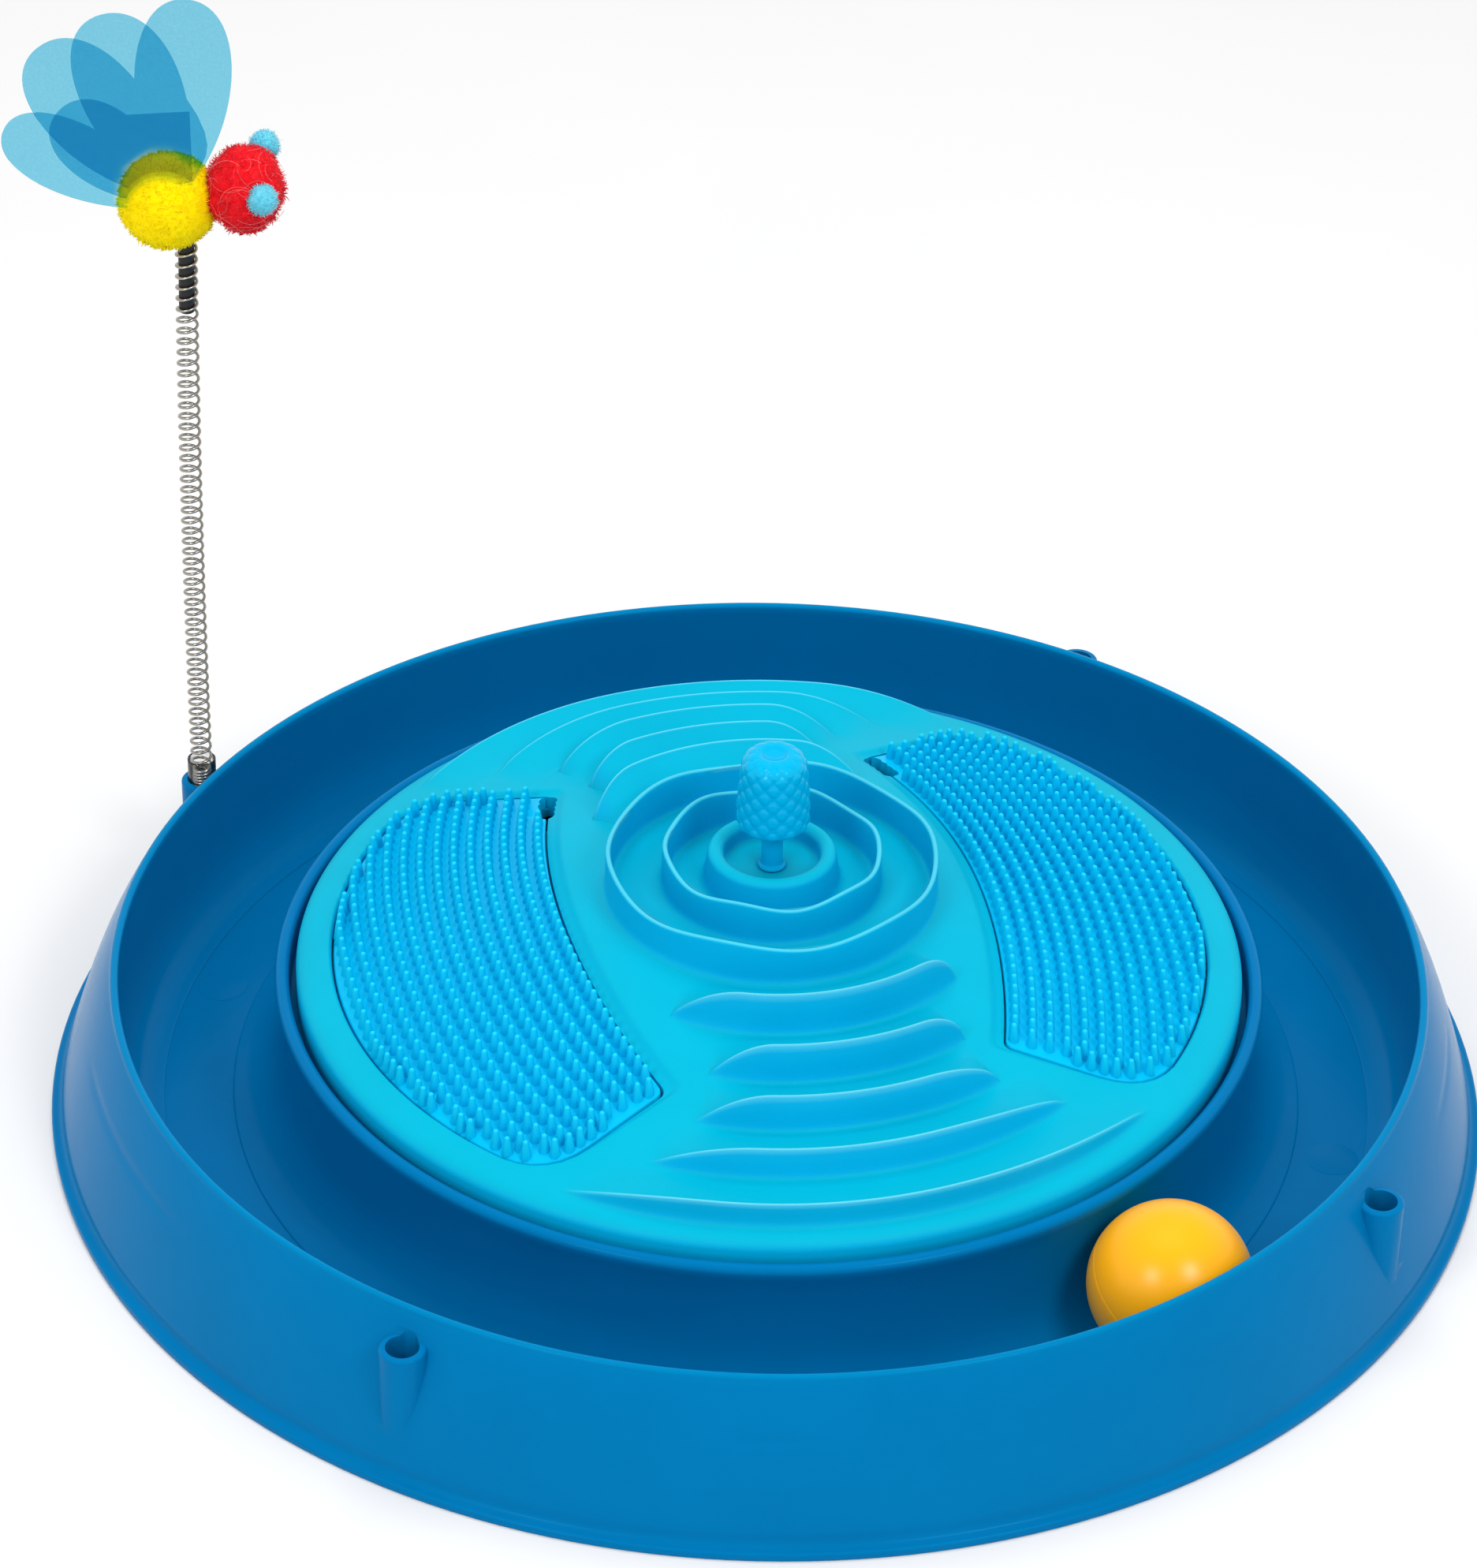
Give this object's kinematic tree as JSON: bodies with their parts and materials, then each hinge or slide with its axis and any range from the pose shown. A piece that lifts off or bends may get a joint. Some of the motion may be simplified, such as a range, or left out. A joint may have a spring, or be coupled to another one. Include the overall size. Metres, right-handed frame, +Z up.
{
  "type": "cat ball track toy",
  "caption": "Round cat toy: a trapped ball runs in a ring track around a lift-out domed massager panel with bristle pads, a chew knob and a sprung insect wand.",
  "frame": {"origin": "centre of the base's underside, on the floor", "axes": "+Z up, -Y towards the front of the toy, the wand stands at the back left"},
  "size_m": [0.376, 0.365, 0.2626],
  "materials": {
    "track_plastic": "satin moulded plastic, mid blue",
    "panel_plastic": "matte moulded plastic, cyan blue",
    "bristle_rubber": "soft moulded bristles, bright blue",
    "knob_rubber": "glossy soft plastic, bright blue",
    "ball_plastic": "glossy golden yellow",
    "clear_plastic": "clear tube",
    "spring_steel": "bright drawn wire",
    "core_rubber": "dark plug",
    "yellow_felt": "fuzzy felt ball, yellow",
    "red_felt": "fuzzy felt ball, red",
    "blue_felt": "fuzzy felt ball, pale blue",
    "wing_film": "see-through blue film"
  },
  "bodies": {
    "base": {"track_base": "track_plastic"},
    "ball": {"ball_upper_half": "ball_plastic", "ball_lower_half": "ball_plastic"},
    "massager": {"massager_disc": "panel_plastic", "knob_stem": "knob_rubber"},
    "left_pad": {"left_bristle_pad": "bristle_rubber"},
    "right_pad": {"right_bristle_pad": "bristle_rubber"},
    "knob": {"chew_knob": "knob_rubber"},
    "wand": {"wand_sleeve": "clear_plastic", "wand_spring": "spring_steel"},
    "wand_tip": {"spring_core": "core_rubber", "bee_body": "yellow_felt", "bee_head": "red_felt", "bee_eye_near": "blue_felt", "bee_eye_far": "blue_felt", "wing_far": "wing_film", "wing_inner": "wing_film", "wing_near": "wing_film"}
  },
  "joints": [
    {"name": "ball_orbit", "type": "hinge", "parent": "base", "child": "ball", "pos_m": [0, 0, 0.0225], "axis": [0, 0, 1], "continuous": true},
    {"name": "massager_lift", "type": "slide", "parent": "base", "child": "massager", "axis": [0, 0, 1], "range_m": [0, 0.08]},
    {"name": "left_pad_lift", "type": "slide", "parent": "massager", "child": "left_pad", "axis": [0, 0, 1], "range_m": [0, 0.03]},
    {"name": "right_pad_lift", "type": "slide", "parent": "massager", "child": "right_pad", "axis": [0, 0, 1], "range_m": [0, 0.03]},
    {"name": "knob_sway", "type": "hinge", "parent": "massager", "child": "knob", "pos_m": [0, 0, 0.071], "axis": [0, 1, 0], "range_deg": [-20, 20], "stiffness_Nm_per_rad": 0.2, "deforming": ["knob_stem"]},
    {"name": "wand_pull", "type": "slide", "parent": "base", "child": "wand", "axis": [0, 0, 1], "range_m": [0, 0.035]},
    {"name": "wand_sway", "type": "hinge", "parent": "wand", "child": "wand_tip", "pos_m": [-0.15243, 0.07969, 0.092], "axis": [0, 1, 0], "range_deg": [-35, 35], "stiffness_Nm_per_rad": 0.1, "deforming": ["wand_spring"]}
  ]
}
